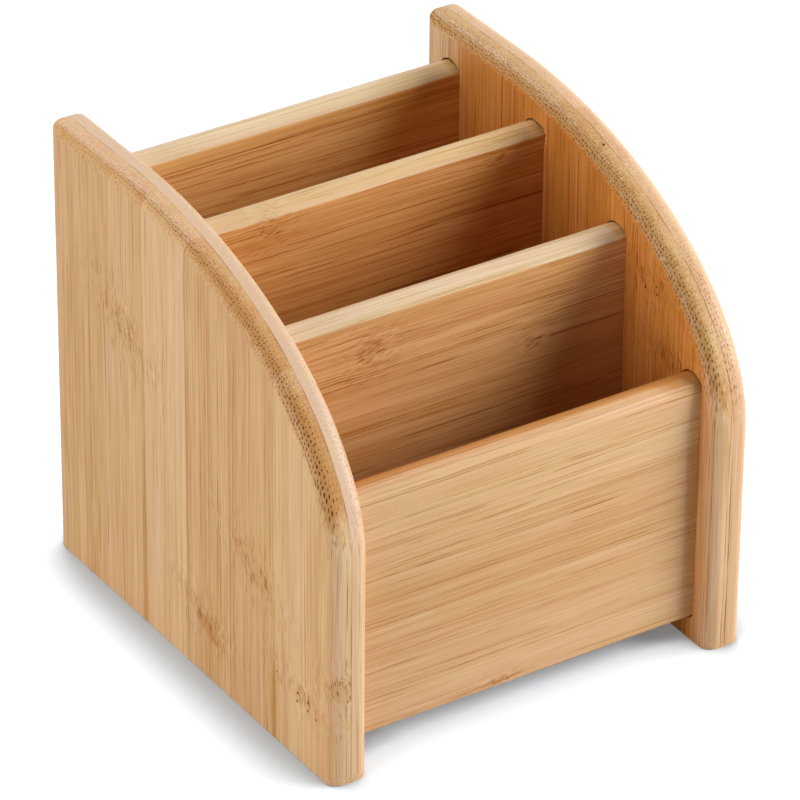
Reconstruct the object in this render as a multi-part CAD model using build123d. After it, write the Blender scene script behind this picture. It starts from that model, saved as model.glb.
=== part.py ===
"""Bamboo desk organizer: two curved sides joined by four stepped cross panels over a floor panel.

Frame: X across the organizer, Y from front to back, Z up. The origin is on the surface it stands
on, at the middle of the footprint. All lengths are in millimetres.
"""
import math
import os

from build123d import *

# Outer size
WIDTH = 140.0
DEPTH = 151.0
HEIGHT = 142.0

# Sides: each is two plies glued face to face
SIDE_THICKNESS = 12.4
PLY_THICKNESS = SIDE_THICKNESS / 2
FRONT_HEIGHT = 71.4            # straight part of the front edge, below the curve
CURVE_RUN = 116.6              # how far back the curve reaches before the level top begins
TOP_CORNER_RADIUS = 2.0        # outline corner at the top of the back edge
EDGE_ROUND = 4.0               # roundover along the front, curved, top and back edges

# Cross panels: front panel, two dividers and back panel
PANEL_THICKNESS = 9.5
CROWN_RADIUS = 6.0             # the panels' long edges are crowned to this radius
FOOT_GAP = 6.8                 # from the ground to the lower edge of the front and back panels
FRONT_PANEL_TOP = 87.8
FRONT_DIVIDER_TOP = 117.4
REAR_TOP = 131.2               # the rear divider and the back panel are level
FRONT_PANEL_BACK_Y = -58.4
FRONT_DIVIDER_BACK_Y = -19.7
REAR_DIVIDER_BACK_Y = 22.1
BACK_PANEL_BACK_Y = 66.0

# Floor panel, held between the front and back panels
FLOOR_UNDERSIDE = 10.0
FLOOR_THICKNESS = 5.0

# Stopped housings in the inner plies, which take the ends of the panels
HOUSING_DEPTH = 4.0
CROWN_GAP = 0.4                # play above and below a panel's crowned edges

# Worked out
HALF_WIDTH = WIDTH / 2
HALF_DEPTH = DEPTH / 2
CURVE_RISE = HEIGHT - FRONT_HEIGHT
INNER_FACE_X = HALF_WIDTH - SIDE_THICKNESS
PANEL_END_X = INNER_FACE_X + HOUSING_DEPTH
CROWN_RISE = CROWN_RADIUS - math.sqrt(CROWN_RADIUS**2 - (PANEL_THICKNESS / 2) ** 2)
FLOOR_TOP = FLOOR_UNDERSIDE + FLOOR_THICKNESS
FLOOR_FRONT_Y = FRONT_PANEL_BACK_Y
FLOOR_BACK_Y = BACK_PANEL_BACK_Y - PANEL_THICKNESS

# Each cross panel: name, back face, lower edge, top, and whether the lower edge is crowned
CROSS_PANELS = (
    ("front_panel", FRONT_PANEL_BACK_Y, FOOT_GAP, FRONT_PANEL_TOP, True),
    ("front_divider", FRONT_DIVIDER_BACK_Y, FLOOR_TOP, FRONT_DIVIDER_TOP, False),
    ("rear_divider", REAR_DIVIDER_BACK_Y, FLOOR_TOP, REAR_TOP, False),
    ("back_panel", BACK_PANEL_BACK_Y, FOOT_GAP, REAR_TOP, True),
)


def side_outline():
    """The side seen along X: straight front, quarter-ellipse curve, level top and straight back."""
    curve_end_y = -HALF_DEPTH + CURVE_RUN
    front_foot = (-HALF_DEPTH, 0)
    curve_start = (-HALF_DEPTH, FRONT_HEIGHT)
    curve_end = (curve_end_y, HEIGHT)
    corner_start = (HALF_DEPTH - TOP_CORNER_RADIUS, HEIGHT)
    corner_end = (HALF_DEPTH, HEIGHT - TOP_CORNER_RADIUS)
    back_foot = (HALF_DEPTH, 0)
    with BuildSketch(Plane.YZ) as sketch:
        with BuildLine():
            Line(front_foot, curve_start)
            EllipticalCenterArc(
                (curve_end_y, FRONT_HEIGHT), CURVE_RUN, CURVE_RISE, start_angle=90, arc_size=90
            )
            Line(curve_end, corner_start)
            RadiusArc(corner_start, corner_end, TOP_CORNER_RADIUS)
            Line(corner_end, back_foot)
            Line(back_foot, front_foot)
        make_face()
    return sketch.sketch


def ply(near_x, far_x):
    """A ply between two X planes, rounded along its outline where it meets the far plane."""
    blank = extrude(Pos(near_x, 0, 0) * side_outline(), far_x - near_x, dir=(1, 0, 0))
    far_edges = blank.edges().filter_by_position(Axis.X, far_x, far_x)
    rounded_edges = [edge for edge in far_edges if edge.center().Z > 0]
    return fillet(rounded_edges, EDGE_ROUND)


def panel_outline(back_y, bottom, top, crowned_below, gap=0.0):
    """A panel seen along X, with crowned edges; gap lifts each crown clear, as in a housing."""
    front_y = back_y - PANEL_THICKNESS
    middle_y = (front_y + back_y) / 2
    shoulder = top + gap - CROWN_RISE
    foot = bottom - gap + CROWN_RISE if crowned_below else bottom
    with BuildSketch(Plane.YZ) as sketch:
        with BuildLine():
            Line((front_y, foot), (front_y, shoulder))
            ThreePointArc((front_y, shoulder), (middle_y, top + gap), (back_y, shoulder))
            Line((back_y, shoulder), (back_y, foot))
            if crowned_below:
                ThreePointArc((back_y, foot), (middle_y, bottom - gap), (front_y, foot))
            else:
                Line((back_y, foot), (front_y, foot))
        make_face()
    return sketch.sketch


def across(outline, low_x, high_x):
    """Carries an outline along X from one plane to another."""
    return extrude(Pos(low_x, 0, 0) * outline, high_x - low_x, dir=(1, 0, 0))


def floor_outline():
    """The floor panel seen along X."""
    middle = ((FLOOR_FRONT_Y + FLOOR_BACK_Y) / 2, (FLOOR_UNDERSIDE + FLOOR_TOP) / 2)
    with BuildSketch(Plane.YZ) as sketch:
        with Locations(middle):
            Rectangle(FLOOR_BACK_Y - FLOOR_FRONT_Y, FLOOR_THICKNESS)
    return sketch.sketch


def housings():
    """What is cut out of the right inner ply: a stopped housing for each panel and the floor."""
    cuts = [
        across(panel_outline(back_y, bottom, top, crowned, CROWN_GAP), INNER_FACE_X, PANEL_END_X)
        for _, back_y, bottom, top, crowned in CROSS_PANELS
    ]
    cuts.append(across(floor_outline(), INNER_FACE_X, PANEL_END_X))
    return cuts


def outer_ply():
    """The right side's outer ply, rounded on its outer face."""
    return ply(HALF_WIDTH - PLY_THICKNESS, HALF_WIDTH)


def inner_ply():
    """The right side's inner ply, rounded on its inner face and housed for the panels."""
    solid = ply(HALF_WIDTH - PLY_THICKNESS, INNER_FACE_X)
    for cut in housings():
        solid = solid - cut
    return solid


def cross_panel(back_y, bottom, top, crowned_below):
    """A cross panel, its ends seated in the housings."""
    return across(panel_outline(back_y, bottom, top, crowned_below), -PANEL_END_X, PANEL_END_X)


def floor_panel():
    """The floor panel, its ends seated in the housings."""
    return across(floor_outline(), -PANEL_END_X, PANEL_END_X)


def write(name, shape):
    """Writes one sub-part to its own file."""
    shape.label = name
    export_step(shape, f"parts/{name}.step")


os.makedirs("parts", exist_ok=True)
right_outer = outer_ply()
right_inner = inner_ply()
write("right_side_outer_ply", right_outer)
write("right_side_inner_ply", right_inner)
write("left_side_outer_ply", mirror(right_outer, about=Plane.YZ))
write("left_side_inner_ply", mirror(right_inner, about=Plane.YZ))
for panel_name, *dimensions in CROSS_PANELS:
    write(panel_name, cross_panel(*dimensions))
write("floor_panel", floor_panel())
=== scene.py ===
"""Bamboo desk organizer: two curved two-ply sides, four cross panels and a floor panel, in pressed
bamboo with a clear satin finish. Lengths are in millimetres until a mesh or a camera is made."""

import bmesh
import bpy
import numpy as np
from math import radians
from mathutils import Euler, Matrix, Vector, geometry


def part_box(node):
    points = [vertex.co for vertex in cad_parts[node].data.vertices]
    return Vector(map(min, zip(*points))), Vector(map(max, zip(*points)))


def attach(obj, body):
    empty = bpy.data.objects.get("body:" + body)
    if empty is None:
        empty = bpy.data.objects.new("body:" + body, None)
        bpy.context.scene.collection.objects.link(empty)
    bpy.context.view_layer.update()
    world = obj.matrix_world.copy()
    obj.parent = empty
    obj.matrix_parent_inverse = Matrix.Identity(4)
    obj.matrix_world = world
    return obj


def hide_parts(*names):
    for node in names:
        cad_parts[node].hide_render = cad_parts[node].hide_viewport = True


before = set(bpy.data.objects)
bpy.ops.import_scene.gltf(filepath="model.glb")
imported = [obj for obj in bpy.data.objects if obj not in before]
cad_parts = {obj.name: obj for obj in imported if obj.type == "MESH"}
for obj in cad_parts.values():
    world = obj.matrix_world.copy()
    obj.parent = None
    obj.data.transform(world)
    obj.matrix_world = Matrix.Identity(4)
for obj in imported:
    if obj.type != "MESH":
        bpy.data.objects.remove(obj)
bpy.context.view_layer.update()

bl_info = {
    "name": "Bamboo Desk Organizer",
    "version": (1, 0, 0),
    "blender": (4, 5, 0),
    "location": "3D Viewport > Sidebar > Organizer",
    "description": "Builds a stepped bamboo desk organizer board by board, with its finish and stage",
    "category": "Add Mesh",
}

MM = 0.001
CROSS_BOARDS = ("front_panel", "front_divider", "rear_divider", "back_panel")
FACING_RIGHT = ("left_side_inner_ply", "right_side_outer_ply")


def box_mm(node):
    """The lowest and highest corner of a node, in millimetres."""
    low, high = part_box(node)
    return np.array(low) / MM, np.array(high) / MM


# ---------------------------------------------------------------- settings

class OrganizerShape(bpy.types.PropertyGroup):
    """The joiner's sizes that are not read from the frame's own boxes."""

    front_height: bpy.props.FloatProperty(
        name="Front Height", description="Straight part of a side's front edge, below the curve, in mm",
        default=71.4, min=10.0)
    curve_run: bpy.props.FloatProperty(
        name="Curve Run", description="How far back the curve reaches before the level top, in mm",
        default=116.6, min=10.0)
    top_corner: bpy.props.FloatProperty(
        name="Top Corner", description="Radius of the corner above the back edge, in mm", default=2.0)
    edge_round: bpy.props.FloatProperty(
        name="Edge Round", description="Roundover along the edges of the sides, in mm", default=4.0)
    glue_groove: bpy.props.FloatProperty(
        name="Glue Groove", description="Fine chamfer of each ply at the glue line, in mm", default=0.05)
    foot_ease: bpy.props.FloatProperty(
        name="Foot Ease", description="Broken arris round the foot of the sides, in mm", default=0.25)
    crown_radius: bpy.props.FloatProperty(
        name="Crown Radius", description="Radius of the panels' crowned edges, in mm", default=6.0)
    panel_arris: bpy.props.FloatProperty(
        name="Panel Arris", description="How far a panel's arris is eased, in mm", default=0.5)
    front_arris: bpy.props.FloatProperty(
        name="Front Panel Arris", description="How far the front panel's outer arris is eased, in mm",
        default=2.2)
    crown_play: bpy.props.FloatProperty(
        name="Crown Play", description="Gap over a panel's crown in its housing, in mm", default=0.4)
    side_play: bpy.props.FloatProperty(
        name="Side Play", description="Gap beside a panel in its housing, in mm", default=0.05)
    rim_ease: bpy.props.FloatProperty(
        name="Rim Ease", description="Broken rim of a housing, in mm", default=0.14)


class OrganizerFinish(bpy.types.PropertyGroup):
    """The bamboo's colours and scale."""

    pale: bpy.props.FloatVectorProperty(
        name="Pale Pith", description="Palest ground between the fibres", subtype="COLOR", size=3,
        min=0.0, max=1.0, default=(0.76, 0.5, 0.28))
    tan: bpy.props.FloatVectorProperty(
        name="Honey Tan", description="Deeper ground of the older strips", subtype="COLOR", size=3,
        min=0.0, max=1.0, default=(0.54, 0.272, 0.082))
    fibre: bpy.props.FloatVectorProperty(
        name="Fibre Brown", description="What a fibre bundle leaves of the ground's colour",
        subtype="COLOR", size=3, min=0.0, max=1.0, default=(0.42, 0.26, 0.14))
    strip_width: bpy.props.FloatProperty(
        name="Strip Width", description="Width of one pressed bamboo strip, in mm", default=23.0)
    bundle_pitch: bpy.props.FloatProperty(
        name="Bundle Pitch", description="Distance between fibre bundles, in mm", default=1.02)
    gloss: bpy.props.FloatProperty(
        name="Finish", description="Weight of the clear satin coat", subtype="FACTOR",
        default=0.12, min=0.0, max=1.0)


# ---------------------------------------------------------------- surfaces

class Shell:
    """Gathers patches of one surface: points, faces and a mask or two per point."""

    def __init__(self):
        self.points, self.faces, self.count = [], [], 0
        self.masks = {"edge": [], "unrolled": []}

    def patch(self, points, faces, **masks):
        points = np.asarray(points, float).reshape(-1, 3)
        self.points.append(points)
        for name, gathered in self.masks.items():
            mask = np.asarray(masks.get(name, 0.0), float).reshape(-1)
            gathered.append(np.broadcast_to(mask, (len(points),)).copy())
        self.faces += (np.asarray(faces) + self.count).tolist()
        self.count += len(points)

    def grid(self, points, closed=False, **masks):
        """A patch whose points stand in rows and columns; closed joins the last column to the first."""
        rows, columns = points.shape[:2]
        index = np.arange(rows * columns).reshape(rows, columns)
        if closed:
            index = np.hstack((index, index[:, :1]))
        faces = np.stack((index[:-1, :-1], index[:-1, 1:], index[1:, 1:], index[1:, :-1]), -1)
        spread = {name: np.broadcast_to(mask, (rows, columns)) for name, mask in masks.items()}
        self.patch(points, faces.reshape(-1, 4), **spread)

    def fill(self, outline, holes, lift):
        """Triangles over a flat outline with holes cut out; lift turns plane points into space."""
        rings = [outline, *holes]
        flat = np.vstack(rings)
        starts = np.cumsum([0] + [len(ring) for ring in rings])
        edges = [(int(a + i), int(a + (i + 1) % (b - a)))
                 for a, b in zip(starts[:-1], starts[1:]) for i in range(b - a)]
        made = geometry.delaunay_2d_cdt([tuple(p) for p in flat], edges, [], 1, 1e-6)
        points, triangles = np.array([tuple(p) for p in made[0]]), np.array(made[2])
        middles = points[triangles].mean(1)
        kept = within(middles, outline)
        for ring in holes:
            kept &= ~within(middles, ring)
        self.patch(lift(points), triangles[kept])

    def build(self, name, sharp_degrees=32.0):
        """The finished mesh object in metres, its doubles merged and its faces turned outwards."""
        mesh = bpy.data.meshes.new(name)
        mesh.from_pydata((np.vstack(self.points) * MM).tolist(), [], self.faces)
        for mask, values in self.masks.items():
            attribute = mesh.attributes.new(mask, "FLOAT", "POINT")
            attribute.data.foreach_set("value", np.concatenate(values))
        work = bmesh.new()
        work.from_mesh(mesh)
        bmesh.ops.remove_doubles(work, verts=work.verts, dist=2e-6)
        bmesh.ops.dissolve_degenerate(work, edges=work.edges, dist=1e-7)
        bmesh.ops.recalc_face_normals(work, faces=work.faces)
        work.to_mesh(mesh)
        open_edges = sum(1 for edge in work.edges if len(edge.link_faces) != 2)
        work.free()
        if open_edges:
            raise RuntimeError(f"{name} has {open_edges} open edges")
        mesh.shade_smooth()
        mesh.set_sharp_from_angle(angle=radians(sharp_degrees))
        piece = bpy.data.objects.new(name, mesh)
        bpy.context.scene.collection.objects.link(piece)
        return piece


def within(points, ring):
    """Which flat points lie inside a closed ring: a ray from each crosses it an odd number of times."""
    start, end = ring[None], np.roll(ring, -1, 0)[None]
    x, y = points[:, None, 0], points[:, None, 1]
    level = (start[..., 1] > y) != (end[..., 1] > y)
    rise = np.where(level, end[..., 1] - start[..., 1], 1.0)
    crossing = start[..., 0] + (y - start[..., 1]) / rise * (end[..., 0] - start[..., 0])
    return np.sum(level & (x < crossing), 1) % 2 == 1


def offset_ring(ring, distance):
    """A closed flat ring moved outwards (for a ring that runs anticlockwise) by a mitred distance,
    the same all round or one for each point: each point moves along the sum of its two edges'
    normals over one plus their dot product."""
    ahead = np.roll(ring, -1, 0) - ring
    ahead /= np.linalg.norm(ahead, axis=1, keepdims=True)
    normal = np.stack((ahead[:, 1], -ahead[:, 0]), 1)
    before = np.roll(normal, 1, 0)
    mitre = (normal + before) / (1 + np.sum(normal * before, 1, keepdims=True))
    return ring + np.reshape(distance, (-1, 1)) * mitre


def torn_out(ring, place, reach, deepest, splinter, seed):
    """How far fibres are torn out at each point of a ring: the deepest tear times the root of the
    nearness to a place, which falls from one to nought over the reach, times a random share that
    changes from splinter to splinter, each so wide, along the ring."""
    near = np.clip(1 - np.linalg.norm(ring - np.array(place), axis=1) / reach, 0, 1)
    along = np.cumsum(np.linalg.norm(np.diff(ring, axis=0, prepend=ring[:1]), axis=1))
    splinters = np.arange(0, along[-1] + splinter, splinter)
    share = np.interp(along, splinters, np.random.default_rng(seed).uniform(0, 1.0, len(splinters)))
    return deepest * np.sqrt(near) * share


def side_path(low, high, shape):
    """A side's outline from the front foot up and over to the back foot, with inward normals:
    a straight, a quarter ellipse, a level straight, a corner arc and a straight."""
    front, back, top = low[1], high[1], high[2]
    rise, run, corner = top - shape.front_height, shape.curve_run, shape.top_corner
    up = np.linspace(shape.foot_ease, shape.front_height, 30)[:-1]
    turn = np.linspace(np.pi, np.pi / 2, 170)[:-1]
    level = np.linspace(front + run, back - corner, 14)[:-1]
    round_off = np.linspace(np.pi / 2, 0, 9)[:-1]
    down = np.linspace(top - corner, shape.foot_ease, 50)
    ellipse_normal = np.stack((-np.cos(turn) / run, -np.sin(turn) / rise), 1)
    ellipse_normal /= np.linalg.norm(ellipse_normal, axis=1, keepdims=True)
    points = np.vstack((
        np.stack((np.full_like(up, front), up), 1),
        np.stack((front + run + run * np.cos(turn), shape.front_height + rise * np.sin(turn)), 1),
        np.stack((level, np.full_like(level, top)), 1),
        np.stack((back - corner + corner * np.cos(round_off),
                  top - corner + corner * np.sin(round_off)), 1),
        np.stack((np.full_like(down, back), down), 1)))
    normals = np.vstack((
        np.tile((1.0, 0.0), (len(up), 1)), ellipse_normal, np.tile((0.0, -1.0), (len(level), 1)),
        -np.stack((np.cos(round_off), np.sin(round_off)), 1), np.tile((-1.0, 0.0), (len(down), 1))))
    return points, normals


def inset(points, normals, distance, back, top):
    """The path moved inwards, and held at the mitre where the distance passes the corner's radius."""
    moved = points + normals * distance
    return np.minimum(moved, (back - distance, top - distance))


def ply_shell(face_x, glue_x, low, high, shape, hole=None, hole_floor=0.0, torn=0.0):
    """One ply: a flat face, a quarter-round roundover carried along the outline, an edge band, the
    glue face and an eased foot. The profile is the distance from the face against the inset, and
    starts with a flat margin inside the roundover. A hole is a housing with a broken rim, wider by
    however much is torn out of it, and deeper by most of that."""
    margin, torn_depth = 0.4, 0.7
    across = np.sign(glue_x - face_x)
    thickness, radius, groove = abs(glue_x - face_x), shape.edge_round, shape.glue_groove
    turn = np.linspace(0, np.pi / 2, 13)
    stand = np.concatenate(([0.0], radius * (1 - np.cos(turn)),
                            np.linspace(radius, thickness - groove, 4)[1:], [thickness]))
    deep = np.concatenate(([radius + margin], radius * (1 - np.sin(turn)), [0.0] * 3, [groove]))
    path, normals = side_path(low, high, shape)
    back, top, foot = high[1], high[2], shape.foot_ease
    rows = np.stack([inset(path, normals, d, back, top) for d in deep], 1)
    x = np.broadcast_to(face_x + across * stand, rows.shape[:2])
    shell = Shell()
    arc = np.concatenate(([0.0], radius * turn, radius * (np.pi / 2 - 1) + stand[len(turn) + 1:]))
    shell.grid(np.dstack((x, rows)), edge=1 - deep / (radius + margin), unrolled=across * (arc - stand))

    def upright(outline, x):
        return np.column_stack((np.zeros(len(outline)) + x, outline))

    def level(outline, z):
        return np.column_stack((outline, np.full(len(outline), z)))

    ring = rows[:, 0]
    keep = np.concatenate(([True], np.linalg.norm(np.diff(ring, axis=0), axis=1) > 1e-5))
    ring = ring[keep][::-1]
    holes = []
    if hole is not None:
        rim = offset_ring(hole, shape.rim_ease + torn)
        holes.append(rim)
        floor_x = face_x + across * hole_floor
        broken_x = face_x + across * (shape.rim_ease + torn_depth * torn)
        shell.grid(np.stack((upright(rim, face_x), upright(hole, broken_x), upright(hole, floor_x))),
                   closed=True)
        shell.fill(hole, [], lambda flat: upright(flat, floor_x))
    shell.fill(ring, holes, lambda flat: upright(flat, face_x))
    shell.patch(upright(rows[:, -1], glue_x), [range(len(path))])

    plan = np.vstack((np.column_stack((x[0], rows[0, :, 0])),
                      np.column_stack((x[-1], rows[-1, :, 0]))[::-1]))
    ahead = np.roll(plan, -1, 0)
    anticlockwise = np.sum(plan[:, 0] * ahead[:, 1] - plan[:, 1] * ahead[:, 0]) > 0
    eased = offset_ring(plan, -foot if anticlockwise else foot)
    shell.grid(np.stack((level(plan, foot), level(eased, 0.0))), closed=True)
    shell.patch(level(eased, 0.0), [range(len(eased))])
    return shell


def crown(front, back, top, shape, gap=0.0, below=False, steps=17):
    """Points of a crowned edge from the back face over to the front face, an arc of the crown's
    radius; below turns it upside down, from the front face to the back."""
    middle, half = (front + back) / 2, (back - front) / 2
    reach = np.arcsin(half / shape.crown_radius)
    angle = np.linspace(reach, -reach, steps)
    sag = shape.crown_radius * (1 - np.cos(angle))
    y = middle + shape.crown_radius * np.sin(angle)
    if below:
        return np.column_stack((y[::-1], top - gap + sag))
    return np.column_stack((y, top + gap - sag))


def ease(before, corner, after, steps=5):
    """A corner eased by a parabola that leaves along one side and arrives along the other."""
    t = np.linspace(0, 1, steps)[:, None]
    return (1 - t) ** 2 * before + 2 * t * (1 - t) * corner + t ** 2 * after


def panel_ring(low, high, shape, crowned_below, front_arris):
    """A cross panel seen along X, anticlockwise from its back face over the crown and down to the
    foot. Each arris is eased from a point on the face to a point on the arc, and the arc's points
    that stand clear of both eases are kept."""
    front, back, foot = low[1], high[1], low[2]
    clear, on_arc = 0.05, 0.9

    def eased(end, amount, down):
        ahead = (end[1] - end[0]) / np.linalg.norm(end[1] - end[0])
        return end[0] + np.array((0.0, -amount if down else amount)), end[0] + ahead * amount * on_arc

    def between(arc, least, most):
        return arc[(arc[:, 0] > least[0] + clear) & (arc[:, 0] < most[0] - clear)]

    over = crown(front, back, high[2], shape)
    back_face, back_arc = eased(over, shape.panel_arris, True)
    front_face, front_arc = eased(over[::-1], front_arris, True)
    parts = [ease(back_face, over[0], back_arc), between(over, front_arc, back_arc),
             ease(front_arc, over[-1], front_face, 7)]
    if crowned_below:
        under = crown(front, back, foot, shape, below=True)
        lead, lead_arc = eased(under, shape.panel_arris, False)
        tail, tail_arc = eased(under[::-1], shape.panel_arris, False)
        parts += [ease(lead, under[0], lead_arc), between(under, lead_arc, tail_arc),
                  ease(tail_arc, under[-1], tail)]
    else:
        parts.append(np.array(((front, foot), (back, foot))))
    return np.vstack(parts)


def carried_shell(ring, ends, waviness=0.0, seed=0, stations=90):
    """A closed ring carried along X between two ends, and closed there. Its upper part rises and
    falls by a few hundredths, as a hand-sanded edge does: the mean of three slow sines, fading out
    over the sanded depth below the top."""
    shortest, longest, sanded = 14.0, 46.0, 4.0
    x = np.linspace(*ends, stations)
    chance = np.random.default_rng(seed)
    phase, length = chance.uniform(0, 2 * np.pi, 3), chance.uniform(shortest, longest, 3)
    wave = waviness * np.sin(2 * np.pi * x[:, None] / length + phase).sum(1) / 3
    upper = np.clip((ring[:, 1] - ring[:, 1].max() + sanded) / sanded, 0, 1)
    points = np.zeros((stations, len(ring), 3))
    points[:, :, 0] = x[:, None]
    points[:, :, 1:] = ring
    points[:, :, 2] += (wave[:, None] - waviness) * upper
    shell = Shell()
    shell.grid(points, edge=upper, closed=True)
    for station in (0, -1):
        shell.patch(points[station], [range(len(ring))])
    return shell


def housing_ring(shape):
    """The comb-shaped housing in an inner ply, anticlockwise seen along X: one slot for each cross
    panel, joined by the slot of the floor panel, with play over the crowns and beside the faces.
    Points stand close together down the top of each slot's front side, where fibres can tear."""
    play, gap = shape.side_play, shape.crown_play
    close_points = np.linspace(2.6, 11.0, 30)
    boxes = [box_mm(name) for name in CROSS_BOARDS]
    floor_low, floor_high = box_mm("floor_panel")
    bottom, top = floor_low[2] - play, floor_high[2] + play

    def slot_end(box, edge, **kind):
        low, high = box
        return crown(low[1] - play, high[1] + play, edge, shape, gap, **kind)

    parts = [slot_end(boxes[0], boxes[0][0][2], below=True),
             np.array(((boxes[0][1][1] + play, bottom), (boxes[-1][0][1] - play, bottom))),
             slot_end(boxes[-1], boxes[-1][0][2], below=True)]
    for index, (low, high) in reversed(list(enumerate(boxes))):
        front = low[1] - play
        down = high[2] - close_points
        parts += [slot_end((low, high), high[2]), np.column_stack((np.full(len(down), front), down))]
        if index:
            parts.append(np.array(((front, top), (boxes[index - 1][1][1] + play, top))))
    return np.vstack(parts)


# ---------------------------------------------------------------- node graphs

class Graph:
    """Writes a node tree as sums: each call adds a node and gives back an output."""

    def __init__(self, tree):
        self.tree = tree

    def feed(self, socket, value):
        if isinstance(value, bpy.types.NodeSocket):
            self.tree.links.new(value, socket)
        else:
            socket.default_value = value

    def add(self, kind, inputs=None, out=0, **settings):
        node = self.tree.nodes.new("ShaderNode" + kind)
        for key, value in settings.items():
            setattr(node, key, value)
        for key, value in (inputs or {}).items():
            self.feed(node.inputs[key], value)
        return node.outputs[out] if out is not None else node

    def math(self, operation, a, b=0.0, c=0.0, clamp=False):
        return self.add("Math", {0: a, 1: b, 2: c}, operation=operation, use_clamp=clamp)

    def swing(self, value, amount):
        """A value about a half, turned into that amount of it about nought."""
        return self.math("MULTIPLY", self.math("SUBTRACT", value, 0.5), amount)

    def slope(self, value, rise, start):
        return self.math("ADD", self.math("MULTIPLY", value, rise), start)

    def length(self, u, v):
        return self.math("SQRT", self.math("ADD", self.math("MULTIPLY", u, u), self.math("MULTIPLY", v, v)))

    def remap(self, value, low, high, to_low=0.0, to_high=1.0):
        """A smooth step from one value to another as the given value goes from low to high."""
        return self.add("MapRange", {0: value, 1: low, 2: high, 3: to_low, 4: to_high},
                        interpolation_type="SMOOTHSTEP")

    def mix(self, amount, a, b, kind="MIX"):
        return self.add("Mix", {0: amount, 6: a, 7: b}, out=2, data_type="RGBA", blend_type=kind)

    def noise(self, place, detail=2.0, roughness=0.5, out=0):
        return self.add("TexNoise", {"Vector": place, "Scale": 1.0, "Detail": detail,
                                     "Roughness": roughness}, out=out)

    def cells(self, place, randomness=1.0, dimensions="2D"):
        """The distance to the nearest scattered point, and that point's random colour."""
        node = self.add("TexVoronoi", {"Vector": place, "Scale": 1.0, "Randomness": randomness},
                        out=None, voronoi_dimensions=dimensions, feature="F1")
        return node.outputs["Distance"], node.outputs["Color"]

    def vector(self, x, y, z):
        return self.add("CombineXYZ", {0: x, 1: y, 2: z})

    def parts(self, vector):
        return tuple(self.add("SeparateXYZ", {0: vector}, out=None).outputs)

    def channels(self, colour):
        return self.add("SeparateColor", {0: colour}, out=None).outputs


def new_group(name, inputs, outputs):
    """A shader node group with named sockets: (graph, inputs by name, output node)."""
    tree = bpy.data.node_groups.new(name, "ShaderNodeTree")
    for label, kind in inputs:
        tree.interface.new_socket(label, in_out="INPUT", socket_type="NodeSocket" + kind)
    for label, kind in outputs:
        tree.interface.new_socket(label, in_out="OUTPUT", socket_type="NodeSocket" + kind)
    given = tree.nodes.new("NodeGroupInput")
    result = tree.nodes.new("NodeGroupOutput")
    return Graph(tree), given.outputs, result


def growth_ring_group():
    """Growth Ring: where a strip carries the joint of the cane. The mask is one in a soft, ragged,
    slanting oval round the middle, in mm across and along the grain; the halo is a wider one."""
    labels = ("Across", "Along", "Middle Across", "Middle Along", "Half Width", "Half Length", "Slant",
              "Ragged")
    graph, given, result = new_group("Growth Ring", [(label, "Float") for label in labels],
                                     (("Mask", "Float"), ("Halo", "Float")))
    m = graph.math
    aside = m("SUBTRACT", given["Across"], given["Middle Across"])
    along = m("SUBTRACT", given["Along"], given["Middle Along"])
    along = m("SUBTRACT", along, m("MULTIPLY", aside, given["Slant"]))
    ragged = graph.noise(graph.vector(m("MULTIPLY", given["Across"], 0.6),
                                      m("MULTIPLY", given["Along"], 0.1), 3.0), 2.0)
    along = m("ADD", along, graph.swing(ragged, given["Ragged"]))
    reach = graph.length(m("DIVIDE", aside, given["Half Width"]), m("DIVIDE", along, given["Half Length"]))
    graph.feed(result.inputs["Mask"], graph.remap(reach, 1.1, 0.55))
    graph.feed(result.inputs["Halo"], graph.remap(reach, 3.4, 0.9))
    return graph.tree


def pinhole_group():
    """Pinhole: one in a round spot of the given radius about a middle, in mm, with a soft rim."""
    labels = ("U", "V", "Middle U", "Middle V", "Radius")
    graph, given, result = new_group("Pinhole", [(label, "Float") for label in labels],
                                     (("Mask", "Float"),))
    m = graph.math
    reach = graph.length(m("SUBTRACT", given["U"], given["Middle U"]),
                         m("SUBTRACT", given["V"], given["Middle V"]))
    graph.feed(result.inputs["Mask"], graph.remap(m("DIVIDE", reach, given["Radius"]), 1.1, 0.6))
    return graph.tree


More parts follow.
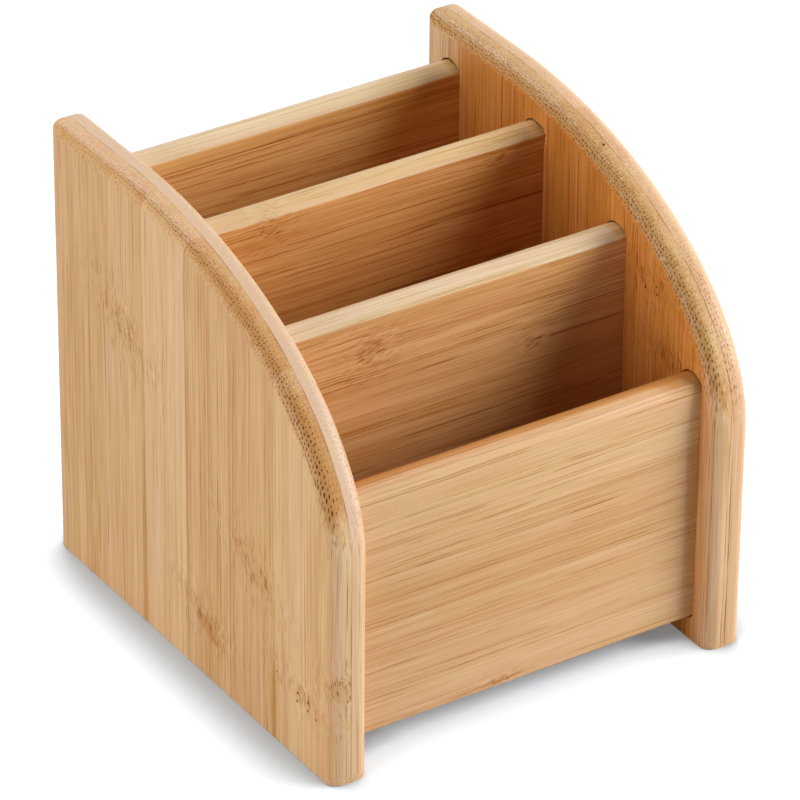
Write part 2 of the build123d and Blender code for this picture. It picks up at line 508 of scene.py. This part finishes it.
def bamboo_group():
    """Pressed Bamboo: a solid grain. Strips lie side by side, each with its own shade; fibre
    bundles and finer fibres run along the grain as columns that wander in and out of a face, so
    they are dots on end grain and tapering lines on faces. The ground lies between pale and tan,
    and fibres darken it by the fibre's colour to the power of how dark they are."""
    thread_pitch, line_pitch, dashes_per_mm = 0.74, 3.1, 1.5
    streak_tone, band_tone, strip_tone, knot_tone, skin_tone, bundle_tone = 1.2, 0.6, 0.35, 0.15, 0.5, 0.7
    bundle_on_face, line_on_face, thread_on_face, dash_on_face, seam_on_face = 0.06, 0.5, 0.27, 0.95, 0.35
    bundle_on_end, thread_on_end = 0.95, 0.2

    labels = ("Across", "Through", "Along", "Skin", "End", "Knot", "Restless", "Pin", "Wear", "Figure",
              "Strip Width", "Strip Offset", "Seed", "Bundle Pitch", "Bundle Size", "Bundle Strength",
              "Shade")
    graph, given, result = new_group(
        "Pressed Bamboo",
        [(label, "Float") for label in labels] + [("Pale", "Color"), ("Tan", "Color"), ("Fibre", "Color")],
        (("Colour", "Color"), ("Roughness", "Float"), ("Height", "Float")))
    m, swing, slope, channels = graph.math, graph.swing, graph.slope, graph.channels
    across, through, along = given["Across"], given["Through"], given["Along"]
    knot, end, skin, figure = given["Knot"], given["End"], given["Skin"], given["Figure"]

    lane = m("DIVIDE", m("ADD", across, given["Strip Offset"]), given["Strip Width"])
    number = m("ADD", m("FLOOR", lane), given["Seed"])
    chance = graph.add("TexWhiteNoise", {"W": number}, out=None, noise_dimensions="1D")
    shade, tint = chance.outputs["Value"], channels(chance.outputs["Color"])
    seam = graph.remap(m("MULTIPLY", m("PINGPONG", lane, 0.5), given["Strip Width"]), 0.14, 0.04)

    def along_strip(stretch):
        return slope(along, stretch, number)

    def drift(scale, stretch, detail):
        place = graph.vector(m("MULTIPLY", across, scale), m("MULTIPLY", through, scale),
                             along_strip(stretch))
        return channels(graph.noise(place, detail, out=1))

    slow, middle, swirl = drift(0.05, 0.011, 1.0), drift(0.3, 0.026, 1.0), drift(0.3, 0.13, 2.0)
    stir = m("ADD", m("MULTIPLY", knot, 3.0), m("MULTIPLY", given["Restless"], 1.5))

    def wander(start, part, spread):
        moved = m("ADD", start, m("MULTIPLY", tint[part], spread))
        for way, amount in ((slow, 2.2), (middle, 0.9), (swirl, stir)):
            moved = m("ADD", moved, swing(way[part], amount))
        return moved

    a, b = wander(across, 0, 61.0), wander(through, 1, 23.0)

    def columns(pitch, randomness):
        near, lot = graph.cells(graph.vector(m("DIVIDE", a, pitch), m("DIVIDE", b, pitch), 0.0), randomness)
        return near, channels(lot)

    def fibre_noise(scale, third, detail, roughness=0.5, out=0):
        place = graph.vector(m("MULTIPLY", a, scale), m("MULTIPLY", b, scale), third)
        return graph.noise(place, detail, roughness, out=out)

    near, lot = columns(given["Bundle Pitch"], 0.42)
    size = m("MULTIPLY", given["Bundle Size"], slope(skin, 0.45, 0.6))
    size = m("MULTIPLY", size, slope(lot[0], 0.7, 0.65))
    bundle = m("MULTIPLY", graph.remap(m("SUBTRACT", near, size), 0.08, -0.08), given["Bundle Strength"])
    bundle = m("MULTIPLY", bundle, graph.remap(skin, 0.0, 0.75, 0.25, 1.0))

    presence = graph.remap(fibre_noise(1.3, along_strip(0.05), 1.0), 0.4, 0.56)
    near, lot = columns(thread_pitch, 0.95)
    thread = m("MULTIPLY", graph.remap(near, 0.36, 0.14), slope(lot[0], 0.8, 0.2))
    thread = m("MULTIPLY", thread, slope(presence, 0.75, 0.25))
    light_thread = m("MULTIPLY", thread, m("LESS_THAN", lot[1], 0.34))
    dark_thread = m("SUBTRACT", thread, light_thread)
    near, lot = columns(line_pitch, 1.0)
    line = m("MULTIPLY", m("MULTIPLY", graph.remap(near, 0.11, 0.04), slope(lot[0], 0.7, 0.3)), presence)

    streak = fibre_noise(1.1, along_strip(0.02), 2.0, 0.7)
    band = channels(fibre_noise(0.16, m("MULTIPLY", along, 0.008), 1.5, out=1))
    lean = m("ADD", m("MULTIPLY", along, 0.3), m("MULTIPLY", swirl[0], 0.8))
    near, lot = graph.cells(
        graph.vector(m("MULTIPLY", m("SUBTRACT", across, lean), dashes_per_mm),
                     m("MULTIPLY", m("ADD", through, m("MULTIPLY", lean, 0.35)), dashes_per_mm),
                     along_strip(0.14)), 1.0, "3D")
    dash = m("MULTIPLY", graph.remap(near, 0.42, 0.24), slope(channels(lot)[0], 0.8, 0.2))
    dash = m("MULTIPLY", dash, m("MAXIMUM", knot, graph.remap(given["Restless"], 0.2, 1.0, 0.0, 0.3)))

    threads = m("MULTIPLY", m("SUBTRACT", dark_thread, light_thread),
                m("SUBTRACT", 0.6, m("MULTIPLY", end, 0.45)))
    tone = swing(streak, m("MULTIPLY", figure, streak_tone))
    for share in (swing(band[0], band_tone), swing(shade, strip_tone),
                  slope(knot, knot_tone, given["Shade"]), m("MULTIPLY", swing(skin, end), skin_tone),
                  m("MULTIPLY", m("SUBTRACT", given["Bundle Strength"], 0.6),
                    m("MULTIPLY", end, bundle_tone)),
                  m("MULTIPLY", threads, figure)):
        tone = m("ADD", tone, share)
    tone = m("ADD", tone, 0.45, clamp=True)
    colour = graph.mix(tone, given["Pale"], given["Tan"])
    warmth = graph.mix(graph.remap(band[1], 0.35, 0.65), (1.0, 0.995, 0.955, 1.0),
                       (1.02, 0.975, 1.015, 1.0))
    colour = graph.mix(1.0, colour, warmth, "MULTIPLY")

    on_face = m("ADD", m("MULTIPLY", bundle, bundle_on_face), m("MULTIPLY", line, line_on_face))
    on_face = m("MULTIPLY", m("ADD", on_face, m("MULTIPLY", dark_thread, thread_on_face)), figure)
    seams = m("MULTIPLY", seam, m("MULTIPLY", tint[2], seam_on_face))
    on_face = m("ADD", on_face, slope(dash, dash_on_face, seams))
    on_end = m("ADD", m("MULTIPLY", bundle, bundle_on_end), m("MULTIPLY", dark_thread, thread_on_end))
    dark = graph.add("Mix", {0: end, 2: on_face, 3: on_end})
    dark = m("ADD", m("MULTIPLY", dark, m("SUBTRACT", 1.0, given["Wear"])), given["Pin"])
    left = graph.vector(*(m("POWER", channel, dark) for channel in channels(given["Fibre"])[:3]))
    graph.feed(result.inputs["Colour"], graph.mix(1.0, colour, left, "MULTIPLY"))
    dark = m("MINIMUM", dark, 1.0)
    graph.feed(result.inputs["Roughness"], m("ADD", m("MULTIPLY", dark, 0.2), slope(streak, 0.16, 0.36)))
    graph.feed(result.inputs["Height"], m("ADD", m("MULTIPLY", dark, -0.04), swing(streak, -0.03)))
    return graph.tree


PLAIN = (1.0, 1.0, 1.0)
# which of the object's axes lie across the grain, through the board and along the grain
GRAIN_AXES = {"upright": (1, 0, 2), "cross": (2, 1, 0), "floor": (1, 2, 0)}
# end grain meets a side's face sharply up to the first place from the front, in mm, and fades into it
# by the board's own end fade from the second
FADE_PLACES, SHARP_FADE = (-54.0, -32.0), 0.08


def group(name, maker):
    """The named node group, made the first time it is asked for."""
    return bpy.data.node_groups.get(name) or maker()


def new_material(name):
    """A material, the graph of its nodes and the inputs of its Principled shader."""
    material = bpy.data.materials.new(name)
    material.use_nodes = True
    return material, Graph(material.node_tree), material.node_tree.nodes["Principled BSDF"].inputs


def bamboo(name, grain, skin_from, skin_to, finish, seed=0.0, strip_offset=0.0, bundle_size=0.2,
           bundles=((0.0, 1.0),), figure=1.0, shade=0.0, end_shade=0.0, end_fade=0.08, edge_shade=0.0,
           edge_range=(0.2, 0.8), wear=0.0, restless=0.15, rings=(), stains_and_shade=(), pins=(), bored=(),
           streaks=(), painted_shade_limits=(), face_painted_shade=0.0, face_tone_and_shade_tint=PLAIN, front_sheen_tint=PLAIN, end_tint=PLAIN,
           crown_light_tint=None, glue=None):
    """A board's bamboo: object coordinates in mm, reordered so that the grain runs along the board, with
    the cane's joints, streaks and pinholes at named places, patches at named places (some real stain, some
    painted shade), a face tint that is partly the board's own tone and partly painted shade, worn edges and
    a clear satin finish. Shades move the ground towards tan, or towards pale below nought. Tints multiply
    the colour on the front edge as a painted sheen, on the end grain, on the crown (paler, as painted light
    from above), and on the face, whose limits, where given, keep it to where painted shade falls."""
    material, graph, shader = new_material(name)
    m = graph.math
    place = graph.add("TexCoord", out="Object")
    axes = graph.parts(graph.add("VectorMath", {0: place, 3: 1 / MM}, operation="SCALE"))
    facing = graph.parts(graph.add("NewGeometry", out="Normal"))
    across, through, along = (axes[axis] for axis in GRAIN_AXES[grain])
    across_facing, through_facing, along_facing = (facing[axis] for axis in GRAIN_AXES[grain])
    turned = m("SUBTRACT", 1.0, m("ABSOLUTE", through_facing))
    end = m("MULTIPLY", graph.remap(m("ABSOLUTE", along_facing), 0.14, 0.34),
            graph.remap(turned, 0.02, graph.remap(across, *FADE_PLACES, SHARP_FADE, end_fade)))

    def placed(maker, title, inputs):
        node = graph.add("Group", node_tree=group(title, maker), out=None)
        for label, value in inputs.items():
            graph.feed(node.inputs[label], value)
        return node.outputs

    def oval(place, ragged):
        labels = ("Middle Across", "Middle Along", "Half Width", "Half Length", "Slant")
        return placed(growth_ring_group, "Growth Ring",
                      {"Across": across, "Along": along, "Ragged": ragged, **dict(zip(labels, place))})

    def pinhole(u, v, place):
        labels = ("Middle U", "Middle V", "Radius")
        return placed(pinhole_group, "Pinhole", {"U": u, "V": v, **dict(zip(labels, place))})["Mask"]

    knot, stir, pin = 0.0, restless, 0.0
    for place in rings:
        joint = oval(place, 6.0)
        knot, stir = m("MAXIMUM", knot, joint["Mask"]), m("MAXIMUM", stir, joint["Halo"])
    for place in pins:
        pin = m("MAXIMUM", pin, m("MULTIPLY", pinhole(across, along, place), 2.2))
    for place in bored:
        pin = m("MAXIMUM", pin, m("MULTIPLY", pinhole(across, through, place), m("MULTIPLY", end, 2.6)))
    for place, half_width, strength in streaks:
        line = graph.remap(m("ABSOLUTE", m("SUBTRACT", across, place)), half_width, 0.4 * half_width)
        pin = m("MAXIMUM", pin, m("MULTIPLY", m("MULTIPLY", line, m("SUBTRACT", 1.0, end)), strength))
    if glue is not None:
        patchy = graph.noise(graph.vector(m("MULTIPLY", across, 0.07), m("MULTIPLY", along, 0.05), 5.0),
                             2.0)
        line = graph.remap(m("ABSOLUTE", m("SUBTRACT", through, glue)), 0.22, 0.06)
        pin = m("MAXIMUM", pin, m("MULTIPLY", m("MULTIPLY", line, graph.remap(patchy, 0.45, 0.65)), 0.5))

    edge = graph.add("Attribute", attribute_name="edge", attribute_type="GEOMETRY", out="Fac")
    edge = graph.remap(edge, *edge_range)
    unrolled = graph.add("Attribute", attribute_name="unrolled", attribute_type="GEOMETRY", out="Fac")
    # the face away from the end grain; limits keep the face tint and shade to where painted shade falls,
    # such as inside the compartments
    shaded_face = m("SUBTRACT", 1.0, end)
    # fore: the front-facing edges, whose front tint paints them paler and cooler: a painted sheen
    fore = m("MULTIPLY", graph.remap(across_facing, -0.55, -0.9), shaded_face)
    for axis, limits in zip((through, across, across), painted_shade_limits):
        shaded_face = m("MULTIPLY", shaded_face, graph.remap(axis, *limits))
    tints = [(fore, front_sheen_tint), (end, end_tint)]
    # the crown takes its own tint instead of the face's, paler and cooler: painted light from above
    if crown_light_tint is not None:
        tints.append((m("MULTIPLY", edge, shaded_face), crown_light_tint))
        shaded_face = m("MULTIPLY", shaded_face, m("SUBTRACT", 1.0, edge))
    tints.append((shaded_face, face_tone_and_shade_tint))
    # an edge shade below nought paints the crown paler: painted light from above
    toned = graph.slope(edge, edge_shade, m("MULTIPLY", end, end_shade))
    toned = m("ADD", toned, graph.slope(shaded_face, face_painted_shade, shade))
    # patches: real stain, pale torn chips, and painted shade near the side at the panels' right ends
    for *place, amount in stains_and_shade:
        toned = m("ADD", toned, m("MULTIPLY", oval(place, 1.0)["Mask"], amount))
    strength = bundles[0][1]
    for (start, thick), (stop, thin) in zip(bundles, bundles[1:]):
        strength = m("ADD", strength, graph.remap(across, start, stop, 0.0, thin - thick))
    grown = placed(bamboo_group, "Pressed Bamboo", {
        "Across": across, "Through": m("ADD", through, unrolled), "Along": along,
        "Skin": graph.remap(through, skin_from, skin_to), "End": end, "Knot": knot,
        "Restless": stir, "Pin": pin, "Wear": m("MULTIPLY", edge, wear), "Figure": figure,
        "Strip Width": finish.strip_width, "Strip Offset": strip_offset, "Seed": seed,
        "Bundle Pitch": finish.bundle_pitch, "Bundle Size": bundle_size,
        "Bundle Strength": strength, "Pale": (*finish.pale, 1), "Tan": (*finish.tan, 1),
        "Fibre": (*finish.fibre, 1), "Shade": toned})
    colour = grown["Colour"]
    for mask, tint in tints:
        colour = graph.mix(mask, colour, graph.mix(1.0, colour, (*tint, 1), "MULTIPLY"))
    graph.feed(shader["Base Color"], colour)
    graph.feed(shader["Roughness"], grown["Roughness"])
    shader["Coat Weight"].default_value = finish.gloss
    shader["Coat Roughness"].default_value = 0.3
    shader["Specular IOR Level"].default_value = 0.22
    bump = graph.add("Bump", {"Height": grown["Height"], "Strength": 0.6, "Distance": MM})
    graph.feed(shader["Normal"], bump)
    return material


# ---------------------------------------------------------------- operators

def dress(piece, material, slot, *nodes):
    """Gives a finished board its material and its place on the root body, and hides the nodes it stands
    for.
    """
    piece.data.materials.append(material)
    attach(piece, "root")
    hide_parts(*nodes)
    return piece


# Each board's grain. Places are in mm across and along the grain: up a cross panel and along it,
# or back along a side and up it.
# rings: middle across and along, half width, half length, slant      stain and painted shade patches: the same, and the shade
# pins: across, along, radius      bored: across, through, radius      streaks: across, half width, strength
# bundles: across, strength      limits of the face's painted shade: through the board, then across it from the front and the back
# In the sides, the front tint paints the front-facing edge paler and cooler: a painted sheen.
SIDE_GRAIN = {
    "left_outer": dict(
        seed=3.0, strip_offset=22.0, bundle_size=0.22, end_shade=0.03, end_fade=0.4, figure=0.95,
        bundles=((-73.5, 0.8), (-71.0, 1.8), (-62.0, 1.8), (-46.0, 1.0), (15.0, 0.8), (60.0, 0.4)),
        face_tone_and_shade_tint=(0.95, 0.95, 0.89), front_sheen_tint=(1.08, 1.2, 1.42),
        rings=((36.0, 95.0, 13.0, 6.5, 0.4), (-10.0, 19.8, 11.0, 5.0, 0.35), (-34.0, 51.0, 12.0, 6.0, 0.4),
               (-60.0, 22.5, 13.0, 4.0, 0.2), (-76.5, 31.5, 6.0, 5.0, 0.0)),
        stains_and_shade=((-45.2, 10.0, 1.6, 16.0, 0.0, 0.8), (24.8, 14.0, 1.4, 45.0, 0.0, 0.5),
                (-10.0, 17.0, 9.0, 3.5, 0.35, 0.4)),
        pins=((-47.0, 23.4, 0.3), (-57.5, 22.2, 0.45), (-57.5, 19.5, 0.45), (-63.0, 22.0, 0.45),
              (-63.0, 19.3, 0.45), (-67.2, 18.6, 0.4)),
        streaks=((1.0, 0.35, 0.3), (-22.0, 0.3, 0.2))),
    "left_inner": dict(
        # its end grain on the curve is paler and cooler: partly the ply's own pale pith, partly painted
        # light from above
        seed=14.0, strip_offset=3.0, bundle_size=0.16, end_shade=-0.35,
        bundles=((-60.0, 0.5), (-42.0, 0.35)),
        end_tint=(0.93, 1.01, 1.18), front_sheen_tint=(1.07, 1.2, 1.42)),
    "right_inner": dict(
        seed=25.0, strip_offset=12.0, bundle_size=0.23, end_shade=0.03, figure=1.45,
        bundles=((-60.0, 1.1), (-42.0, 0.95)),
        end_tint=(0.94, 0.97, 0.93), front_sheen_tint=(1.0, 1.04, 1.1),
        # the inner face is painted deeper orange inside the compartments, between the front panel and the
        # back: painted shade
        painted_shade_limits=((60.0, 58.2), (-74.0, -64.0), (68.0, 50.0)), face_painted_shade=0.08, face_tone_and_shade_tint=(0.97, 0.65, 0.29),
        rings=((-44.0, 107.0, 10.0, 4.5, 0.1), (-53.0, 87.5, 9.0, 4.5, 0.1)),
        stains_and_shade=((12.0, 128.4, 1.6, 2.6, 0.0, -1.2),),
        pins=((-39.5, 104.1, 0.4), (-45.0, 106.8, 0.4), (-45.1, 104.3, 0.4)),
        bored=((-10.0, 62.6, 0.45),)),
    "right_outer": dict(
        seed=37.0, strip_offset=17.0, bundle_size=0.17, end_shade=-0.15,
        bundles=((-60.0, 0.7), (-42.0, 0.25)),
        end_tint=(1.0, 1.03, 1.12), front_sheen_tint=(0.99, 1.04, 1.14)),
}
# the crowns: sanded smooth (wear), and painted paler by the edge shade below nought: painted light from
# above
CROWN = dict(edge_range=(0.4, 0.5), edge_shade=-0.35, wear=0.85)
PANEL_GRAIN = {
    "front_panel": dict(
        # its crown a little paler by the edge shade: painted light from above
        seed=41.0, strip_offset=4.0, figure=0.9, edge_range=(0.4, 0.5), edge_shade=-0.1, wear=0.3,
        # a deeper orange band along the back of the crown and down the back face: painted shade where the
        # top turns away from the light
        painted_shade_limits=((-64.8, -63.2),), face_painted_shade=0.6, face_tone_and_shade_tint=(1.0, 0.86, 0.66),
        rings=((10.3, -9.0, 2.0, 4.0, 0.0),),
        # the first patch darkens the right end beside the side and the third the crown's right end, both
        # painted shade; the second is the pale torn chip under the lower edge
        stains_and_shade=((45.0, 58.5, 90.0, 5.5, 0.0, 0.45), (8.6, -7.5, 1.1, 5.0, 0.0, -0.9),
                (87.8, 59.5, 3.5, 17.0, 0.0, 0.65))),
    "front_divider": dict(
        seed=52.0, strip_offset=9.0, figure=1.5, **CROWN,
        # face tint deeper and more orange: partly the board's own tone, partly painted shade of the
        # compartments; crown tint paler and cooler: painted light from above
        face_tone_and_shade_tint=(0.93, 0.79, 0.6), crown_light_tint=(1.02, 1.19, 1.36),
        rings=((105.0, -28.0, 5.0, 6.0, 0.3), (91.0, 26.5, 3.0, 4.0, 0.0)),
        # darker at the crown's right end, beside the side: painted shade
        stains_and_shade=((117.4, 59.5, 3.5, 6.0, 0.0, 0.6),)),
    "rear_divider": dict(
        seed=63.0, strip_offset=15.0, shade=0.1, figure=1.5, **CROWN,
        # face tint and shade deeper and more orange: partly the board's own tone, partly painted shade of
        # the compartments; crown tint nearly plain, so the crown is only paler by the edge shade's painted
        # light
        face_tone_and_shade_tint=(0.95, 0.75, 0.48), crown_light_tint=(0.99, 1.03, 0.99),
        rings=((128.0, -34.0, 6.0, 5.0, 0.0), (127.0, 42.5, 2.5, 3.0, 0.0)),
        # darker towards the face's right end, and at the crown's right end, beside the side: painted shade
        stains_and_shade=((100.0, 60.0, 90.0, 32.0, 0.0, 0.35), (131.2, 59.5, 3.5, 5.0, 0.0, 0.4))),
    "back_panel": dict(
        seed=74.0, strip_offset=16.8, shade=-0.05, figure=1.4, **CROWN,
        # face tint deeper and more orange: partly the board's own tone, partly painted shade of the
        # compartments; crown tint paler and cooler: painted light from above
        face_tone_and_shade_tint=(1.05, 0.92, 0.62), crown_light_tint=(1.06, 1.25, 1.42), streaks=((124.7, 0.35, 0.45),),
        # darker towards the face's right end, and at the crown's right end, beside the side: painted shade
        stains_and_shade=((110.0, 60.0, 90.0, 36.0, 0.0, 0.45), (131.2, 59.5, 3.5, 5.0, 0.0, 0.4))),
}
# the torn fibres in front of the rear divider's right housing, back along the side and up it, in mm
TEAR = dict(place=(13.2, 128.6), reach=3.8, deepest=1.5, splinter=0.5, seed=4)
WAVINESS = 0.06


class ORGANIZER_OT_sides(bpy.types.Operator):
    """Builds the four plies of the two curved sides"""

    bl_idname = "organizer.sides"
    bl_label = "Build the Sides"

    def execute(self, context):
        shape, finish = context.scene.organizer_shape, context.scene.organizer_finish
        hole = housing_ring(shape)
        torn = {"left": 0.0, "right": torn_out(hole, **TEAR)}
        panel_end = box_mm("front_panel")[1][0]
        for side in ("left", "right"):
            for ply in ("outer", "inner"):
                node = f"{side}_side_{ply}_ply"
                low, high = box_mm(node)
                face, glue = (high[0], low[0]) if node in FACING_RIGHT else (low[0], high[0])
                depth = abs(panel_end) - min(abs(face), abs(glue))
                housing = hole if ply == "inner" else None
                shell = ply_shell(face, glue, low, high, shape, housing, depth, torn[side])
                skin = (low[0], high[0]) if node == "left_side_inner_ply" else (high[0], low[0])
                material = bamboo(f"{side} {ply} bamboo", "upright", *skin, finish, glue=glue,
                                  **SIDE_GRAIN[f"{side}_{ply}"])
                dress(shell.build(f"{side}_{ply}_board"), material, f"side_{ply}", node)
        return {"FINISHED"}


class ORGANIZER_OT_panels(bpy.types.Operator):
    """Builds the four crowned cross panels"""

    bl_idname = "organizer.panels"
    bl_label = "Build the Cross Panels"

    def execute(self, context):
        shape, finish = context.scene.organizer_shape, context.scene.organizer_finish
        for number, node in enumerate(CROSS_BOARDS):
            low, high = box_mm(node)
            crowned_below = node in ("front_panel", "back_panel")
            arris = shape.front_arris if node == "front_panel" else shape.panel_arris
            ring = panel_ring(low, high, shape, crowned_below, arris)
            shell = carried_shell(ring, (low[0], high[0]), WAVINESS, number)
            material = bamboo(f"{node.replace('_', ' ')} bamboo", "cross", high[1], low[1], finish,
                              **PANEL_GRAIN[node])
            name = node.replace("_panel", "").replace("_divider", "_dividing") + "_board"
            dress(shell.build(name), material, "cross_panel", node)
        return {"FINISHED"}


class ORGANIZER_OT_floor(bpy.types.Operator):
    """Builds the floor panel between the front and back panels"""

    bl_idname = "organizer.floor"
    bl_label = "Build the Floor Panel"

    def execute(self, context):
        finish = context.scene.organizer_finish
        low, high = box_mm("floor_panel")
        ring = np.array(((low[1], low[2]), (high[1], low[2]), (high[1], high[2]), (low[1], high[2])))
        shell = carried_shell(ring, (low[0], high[0]))
        material = bamboo("floor bamboo", "floor", low[2], high[2], finish, seed=85.0, strip_offset=6.0)
        dress(shell.build("floor_board"), material, "floor", "floor_panel")
        return {"FINISHED"}


# name, degrees to the right of the front, degrees up, distance and size in metres, watts
LAMPS = (
    ("right softbox", 56.0, 21.0, 1.6, 1.0, 33.0),
    ("left softbox", -85.0, 14.0, 1.6, 0.9, 16.5),
    ("back softbox", 180.0, 50.0, 1.6, 0.9, 15.0),
)
LAMP_AIM = (0.0, 0.0, 0.06)
AMBIENT = 0.05
STAGE_HALF = 3.0
CAMERA_PLACE = (-0.77016, -1.17456, 0.9185)
CAMERA_TURN = (58.7476, -0.4876, -33.0054)
CAMERA_SENSOR, CAMERA_LENS = 36.0, 258.13
CAMERA_SHIFT = (-0.00207, -0.00403)


class ORGANIZER_OT_stage(bpy.types.Operator):
    """Sets the white stage, the soft studio light and the camera"""

    bl_idname = "organizer.stage"
    bl_label = "Set the Stage"

    def surroundings(self, scene):
        """A dim white world for the light, and a white one for the camera and for reflections."""
        world = bpy.data.worlds.new("studio")
        scene.world = world
        world.use_nodes = True
        graph = Graph(world.node_tree)
        path = graph.add("LightPath", out=None).outputs
        shown = graph.math("MAXIMUM", path["Is Camera Ray"],
                           graph.math("MAXIMUM", path["Is Glossy Ray"], path["Is Transmission Ray"]))
        back = world.node_tree.nodes["Background"]
        back.inputs["Color"].default_value = (1, 1, 1, 1)
        graph.feed(back.inputs["Strength"], graph.remap(shown, 0.0, 1.0, AMBIENT, 1.0))

    def sweep(self, scene):
        """The pale floor. The camera sees it glow white where it is open to the sky; the glow fades with
        ambient occlusion, so near the organizer the shadow is partly the lamps' own and partly a painted
        contact shadow: a short soft one under the panels, and a wider one beside the sides. Its ground
        colour is cool, which keeps the shadows grey beside the bamboo's warm bounce light, and darker for
        the camera than for the light it sends on. Under and beside are distances from the middle, in
        metres."""
        under, beside = 0.054, 0.066
        darkest, brightest = 0.17, 0.8
        mesh = bpy.data.meshes.new("studio_floor")
        half = STAGE_HALF
        mesh.from_pydata([(-half, -half, 0), (half, -half, 0), (half, half, 0), (-half, half, 0)], [],
                         [(0, 1, 2, 3)])
        floor = bpy.data.objects.new("studio_floor", mesh)
        scene.collection.objects.link(floor)
        material, graph, shader = new_material("white sweep")
        shader["Roughness"].default_value = 0.9
        shader["Specular IOR Level"].default_value = 0.1
        shader["Emission Color"].default_value = (0.95, 0.98, 1, 1)
        seen = graph.add("LightPath", out="Is Camera Ray")
        graph.feed(shader["Base Color"], graph.mix(seen, (0.75, 0.8, 0.855, 1), (0.42, 0.46, 0.5, 1)))
        aside = graph.math("ABSOLUTE", graph.parts(graph.add("TexCoord", out="Object"))[0])
        reach = graph.remap(aside, under, beside, 0.02, 0.03)
        # the glow fades with ambient occlusion near the organizer: a painted contact shadow
        open_sky = graph.add("AmbientOcclusion", {"Distance": reach}, out="AO", samples=16)
        glow_under = graph.math("ADD", graph.remap(open_sky, 0.25, 0.42, darkest, 0.56),
                                graph.remap(open_sky, 0.42, 0.95, 0.0, 0.3))
        glow_beside = graph.remap(open_sky, 0.5, 0.86, darkest, brightest)
        glow = graph.remap(aside, under, beside, glow_under, glow_beside)
        graph.feed(shader["Emission Strength"], graph.math("MULTIPLY", seen, glow))
        mesh.materials.append(material)

    def lamp(self, scene, name, azimuth, elevation, distance, size, watts):
        """A square softbox, turned to the organizer's middle."""
        light = bpy.data.lights.new(name, "AREA")
        light.energy, light.size = watts, size
        lamp = bpy.data.objects.new(name, light)
        scene.collection.objects.link(lamp)
        turn = Euler((radians(90 - elevation), 0, radians(azimuth)))
        lamp.rotation_euler = turn
        lamp.location = turn.to_matrix() @ Vector((0, 0, distance)) + Vector(LAMP_AIM)

    def camera(self, scene):
        """A long lens from the left front, looking down."""
        data = bpy.data.cameras.new("camera")
        data.sensor_width, data.lens = CAMERA_SENSOR, CAMERA_LENS
        data.shift_x, data.shift_y = CAMERA_SHIFT
        data.clip_end = 20.0
        camera = bpy.data.objects.new("camera", data)
        camera.location = CAMERA_PLACE
        camera.rotation_euler = [radians(angle) for angle in CAMERA_TURN]
        scene.collection.objects.link(camera)
        scene.camera = camera

    def execute(self, context):
        scene = context.scene
        scene.view_settings.view_transform = "Standard"
        self.surroundings(scene)
        self.sweep(scene)
        for lamp in LAMPS:
            self.lamp(scene, *lamp)
        self.camera(scene)
        return {"FINISHED"}


class ORGANIZER_PT_sidebar(bpy.types.Panel):
    """Lists the organizer's sizes, colours and building steps"""

    bl_idname = "ORGANIZER_PT_sidebar"
    bl_label = "Desk Organizer"
    bl_space_type = "VIEW_3D"
    bl_region_type = "UI"
    bl_category = "Organizer"

    def draw(self, context):
        for settings in (context.scene.organizer_shape, context.scene.organizer_finish):
            column = self.layout.column(align=True)
            for name in settings.bl_rna.properties.keys():
                if name not in ("rna_type", "name"):
                    column.prop(settings, name)
        for operator in OPERATORS:
            self.layout.operator(operator.bl_idname)


OPERATORS = (ORGANIZER_OT_stage, ORGANIZER_OT_sides, ORGANIZER_OT_panels, ORGANIZER_OT_floor)
CLASSES = (OrganizerShape, OrganizerFinish, *OPERATORS, ORGANIZER_PT_sidebar)


def register():
    for cls in CLASSES:
        bpy.utils.register_class(cls)
    bpy.types.Scene.organizer_shape = bpy.props.PointerProperty(type=OrganizerShape)
    bpy.types.Scene.organizer_finish = bpy.props.PointerProperty(type=OrganizerFinish)


def unregister():
    del bpy.types.Scene.organizer_finish
    del bpy.types.Scene.organizer_shape
    for cls in reversed(CLASSES):
        bpy.utils.unregister_class(cls)


def main():
    register()
    bpy.ops.organizer.stage()
    bpy.ops.organizer.sides()
    bpy.ops.organizer.panels()
    bpy.ops.organizer.floor()


if __name__ == "__main__":
    main()
